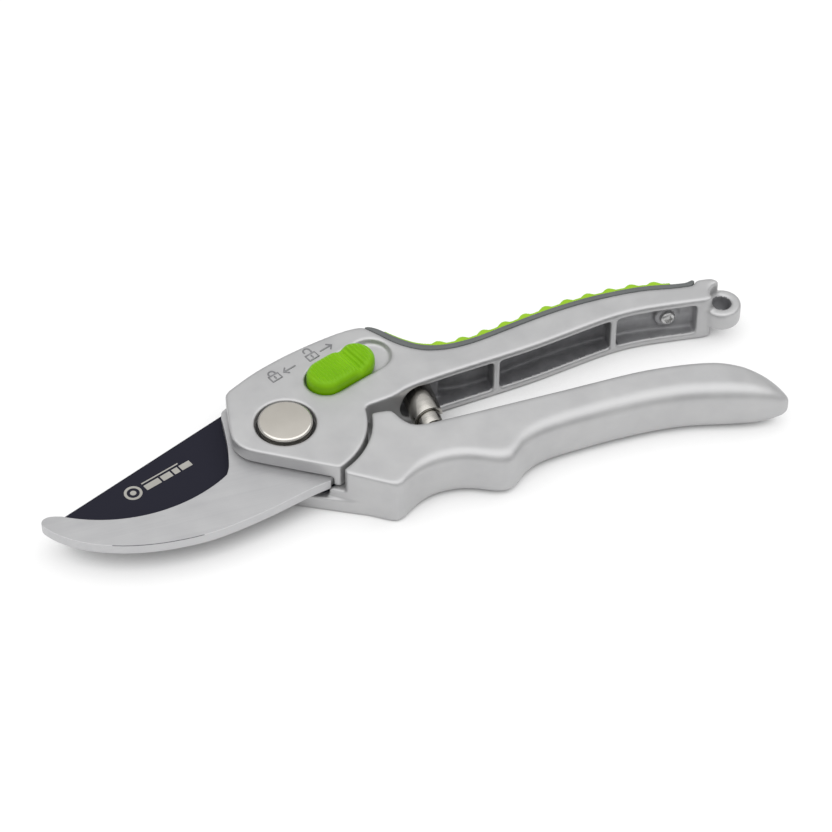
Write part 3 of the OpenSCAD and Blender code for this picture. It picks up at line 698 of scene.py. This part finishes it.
def buttonSkin():
    # a long round-ended pad with a dip for the thumb and fine ridges across it, on a stem
    h = button["voxel"]
    top, bottom, low = topOf("lock_button"), thickness - button["below"], lowOf("lock_button")
    start = np.floor(np.array([*button["low"], low - button["margin"]]) / h).astype(int)
    size = np.ceil(np.array([*button["high"], top + button["margin"]]) / h).astype(int) - start
    s, t, z = np.meshgrid(*[(start[i] + np.arange(size[i])) * h for i in range(3)], indexing="ij", sparse=True)
    side = np.hypot(s - np.clip(s, button["front"], button["rear"]), t) - button["radius"]
    side = side + button["draft"] * np.clip(z - thickness, 0, button["draftOver"])
    dip = button["dip"] * np.exp(-((s - button["dipAt"]) / button["dipWidth"]) ** 2)
    height = top - button["ridgeRoom"] - dip
    bottom = bottom + button["heel"] * ramp(s, button["heelFrom"], button["heelFrom"] + button["heelLength"])
    ripple = button["ridge"] * np.cos(2 * math.pi * s / button["pitch"]) * (1 - ramp(side, *button["ridgeFade"]))
    r = button["edge"]
    a, b = side + r, z - height - ripple + r
    upper = np.hypot(np.maximum(a, 0), np.maximum(b, 0)) - r + np.minimum(np.maximum(a, b), 0)
    body = np.maximum(upper, bottom - z)
    stem = np.maximum(np.hypot(s - stemAt, t) - button["stem"], np.maximum(low - z, z - thickness))
    points, faces = skinOf(np.minimum(body, stem), start, h)
    return meshFrom("thumb_lock", alongLock(points), faces)


addPiece("thumb_lock", buttonSkin(), "lock", "lock_green", [materials["limePlastic"]], "lock_button")
print("lock button")


# The marks on the head plate, in a darker tone that is painted shade, as an engraved groove would hold.
mark = {"stroke": 0.24, "across": 9.7, "size": 1.2, "sides": 8, "shutAt": -10.2, "openAt": 2.6,
        "roundEnd": [(-1, 0.05), (-0.8, 0.6), (-0.4, 0.92)], "arrowFrom": 4.1, "arrowDrop": 0.2, "lift": 0.7,
        "lock": (1.3, -1.2, 0.6), "shackle": (0.8, 1.1), "slit": [(0, -0.6), (0, 0)],
        "arrow": [[(-1.6, 0), (1.6, 0)], [(0.7, 0.9), (1.6, 0), (0.7, -0.9)]]}


def stroke(points, faces, line, radius, z):
    # a thin bar with round ends along a line of points, half sunk in the face at z
    line = [np.array(p, float) for p in line]
    rings = []
    for i, p in enumerate(line):
        ahead = line[min(i + 1, len(line) - 1)] - line[max(i - 1, 0)]
        ahead = ahead / np.linalg.norm(ahead)
        side = np.array([-ahead[1], ahead[0]])
        ends = [(0, 1)]
        if i == 0:
            ends = mark["roundEnd"] + ends
        elif i == len(line) - 1:
            ends = ends + [(-shift, share) for shift, share in reversed(mark["roundEnd"])]
        for shift, share in ends:
            rings.append((p + ahead * shift * radius, side, radius * share))
    base = len(points)
    n = mark["sides"]
    for p, side, r in rings:
        for k in range(n):
            a = 2 * math.pi * k / n
            points.append((*(p + side * r * math.cos(a)), z + r * math.sin(a)))
    for i in range(len(rings) - 1):
        for k in range(n):
            m = (k + 1) % n
            faces.append([base + i * n + k, base + i * n + m, base + (i + 1) * n + m, base + (i + 1) * n + k])
    faces.append([base + k for k in range(n)][::-1])
    faces.append([base + (len(rings) - 1) * n + k for k in range(n)])


def arcLine(centre, radius, start, end, steps=10):
    angles = [math.radians(start + (end - start) * i / steps) for i in range(steps + 1)]
    return [(centre[0] + radius * math.cos(a), centre[1] + radius * math.sin(a)) for a in angles]


def padlock(opened):
    # a body with a slit, and a shackle that is shut or lifted on one leg
    lift = mark["lift"] if opened else 0.0
    half, low, high = mark["lock"]
    bow, rise = mark["shackle"]
    body = [(-half, low), (half, low), (half, high), (-half, high), (-half, low)]
    return [body, mark["slit"], [(bow, high), *arcLine((0, rise + lift), bow, 0, 180), (-bow, high + 1.4 * lift)]]


def lockMarks():
    # each padlock has an arrow beside it that shows the way to push
    points, faces = [], []
    for opened, s, way in ((False, mark["shutAt"], -1), (True, mark["openAt"], 1)):
        arrow = [[(mark["arrowFrom"] + way * u, v - mark["arrowDrop"]) for u, v in line] for line in mark["arrow"]]
        for line in padlock(opened) + arrow:
            line = [(s + u * mark["size"], mark["across"] + v * mark["size"]) for u, v in line]
            stroke(points, faces, line, mark["stroke"], thickness)
    return meshFrom("lock_marks", alongLock(np.array(points)), faces)


addPiece("lock_marks", lockMarks(), "upper", "cast_aluminium", [materials["castMarkShade"]])


# The mark on the cutter; each bar is its start and end along the mark, then its bottom and top.
inlay = {"centre": (-44.2, -5.3), "angle": 21.0, "thick": 0.02, "ring": (2.5, 1.75), "ringSteps": 48,
         "dot": 0.85, "dotSteps": 24,
         "bars": [(3.6, 8.4, -1.6, 0.4), (9.0, 12.2, -1.6, 0.4), (12.8, 14.6, -1.6, 0.4), (15.2, 18.6, -1.6, 0.4),
                  (3.6, 15.6, 1.1, 1.5)]}


def bladeMark():
    # a ring with a dot and a row of plain bars, etched through the coating
    points, faces = [], []
    level = topOf("cutting_blade")

    def prism(outline, hole=None):
        base, n = len(points), len(outline)
        for z in (level - inlay["thick"], level + inlay["thick"]):
            points.extend((*p, z) for p in outline)
            if hole:
                points.extend((*p, z) for p in hole)
        step = n * (2 if hole else 1)
        for k in range(n):
            m = (k + 1) % n
            faces.append([base + k, base + m, base + step + m, base + step + k])
            if hole:
                faces.append([base + n + m, base + n + k, base + step + n + k, base + step + n + m])
                faces.append([base + step + k, base + step + m, base + step + n + m, base + step + n + k])
                faces.append([base + m, base + k, base + n + k, base + n + m])
        if not hole:
            faces.append([base + step + k for k in range(n)])
            faces.append([base + k for k in range(n)][::-1])

    def circle(radius, steps):
        return arcLine((0, 0), radius, 0, 360 - 360 / steps, steps - 1)

    outer, inner = inlay["ring"]
    prism(circle(outer, inlay["ringSteps"]), circle(inner, inlay["ringSteps"]))
    prism(circle(inlay["dot"], inlay["dotSteps"]))
    for u0, u1, v0, v1 in inlay["bars"]:
        prism([(u0, v0), (u1, v0), (u1, v1), (u0, v1)])
    flat = np.array(points)
    c, d = math.cos(math.radians(inlay["angle"])), math.sin(math.radians(inlay["angle"]))
    flat = np.stack([inlay["centre"][0] + flat[:, 0] * c - flat[:, 1] * d,
                     inlay["centre"][1] + flat[:, 0] * d + flat[:, 1] * c, flat[:, 2]], 1)
    return meshFrom("blade_mark", flat, faces, smooth=False)


addPiece("blade_mark", bladeMark(), "lower", "coated_steel", [materials["etchedMark"]])
print("marks")


# Floor, light and camera.
ground = {"half": 3, "drop": 0.0002, "tone": 0.62, "roughness": 0.9, "specular": 0.1, "glow": 0.38,
          "coverReach": 0.04, "openFrom": 0.12, "openTo": 0.5}    # metres
studio = {"zenith": 0.92, "horizon": 0.36, "overhead": 4.6, "at": (0, -0.05, 0.7), "size": (1.8, 1.0)}
view = {"azimuth": -18.0, "elevation": 46.0, "distance": 900.0, "aim": (34.285, -8.577, 15.0), "lens": 144.1,
        "farthest": 10}

half, drop = ground["half"], ground["drop"]
floorMesh = bpy.data.meshes.new("floor")
floorMesh.from_pydata([(-half, -half, -drop), (half, -half, -drop), (half, half, -drop), (-half, half, -drop)],
                      [], [(0, 1, 2, 3)])
floor = bpy.data.objects.new("floor", floorMesh)
bpy.context.collection.objects.link(floor)
paper = bpy.data.materials.new("paper")
paper.use_nodes = True
paperTree = paper.node_tree
paperShader = paperTree.nodes["Principled BSDF"]
paperShader.inputs["Base Color"].default_value = (ground["tone"], ground["tone"], ground["tone"], 1)
paperShader.inputs["Roughness"].default_value = ground["roughness"]
paperShader.inputs["Specular IOR Level"].default_value = ground["specular"]
paperShader.inputs["Emission Color"].default_value = (1, 1, 1, 1)
cover = paperTree.nodes.new("ShaderNodeAmbientOcclusion")
cover.inputs["Distance"].default_value = ground["coverReach"]
# a light table: the floor glows a little where nothing covers it, so shadows stay pale
glow = spreadOf(paperTree, cover.outputs["AO"], 0.0, ground["glow"], ground["openFrom"], ground["openTo"])
paperTree.links.new(glow, paperShader.inputs["Emission Strength"])
floorMesh.materials.append(paper)

world = bpy.data.worlds.new("studio")
world.use_nodes = True
skyTree = world.node_tree
sky = skyTree.nodes["Background"]
way = skyTree.nodes.new("ShaderNodeTexCoord")
parts = skyTree.nodes.new("ShaderNodeSeparateXYZ")
skyTree.links.new(way.outputs["Generated"], parts.inputs[0])
sky.inputs["Color"].default_value = (1, 1, 1, 1)
skyTree.links.new(spreadOf(skyTree, parts.outputs["Z"], studio["horizon"], studio["zenith"], 0.0, 1.0),
                  sky.inputs["Strength"])
bpy.context.scene.world = world

softbox = bpy.data.objects.new("overhead", bpy.data.lights.new("overhead", "AREA"))
bpy.context.collection.objects.link(softbox)
softbox.data.shape = "RECTANGLE"
softbox.data.size, softbox.data.size_y = studio["size"]
softbox.data.energy = studio["overhead"]
softbox.location = studio["at"]
softbox.rotation_euler = (-Vector(studio["at"])).to_track_quat("-Z", "Y").to_euler()

azimuth, elevation = math.radians(view["azimuth"]), math.radians(view["elevation"])
back = Vector((math.sin(azimuth) * math.cos(elevation), -math.cos(azimuth) * math.cos(elevation),
               math.sin(elevation)))
camera = bpy.data.objects.new("camera", bpy.data.cameras.new("camera"))
bpy.context.collection.objects.link(camera)
camera.location = place(*view["aim"]) + back * view["distance"] * mm
camera.rotation_euler = (-back).to_track_quat("-Z", "Y").to_euler()
camera.data.lens = view["lens"]
camera.data.clip_end = view["farthest"]
bpy.context.scene.camera = camera
bpy.context.scene.view_settings.view_transform = "Standard"
print("floor, light and camera")
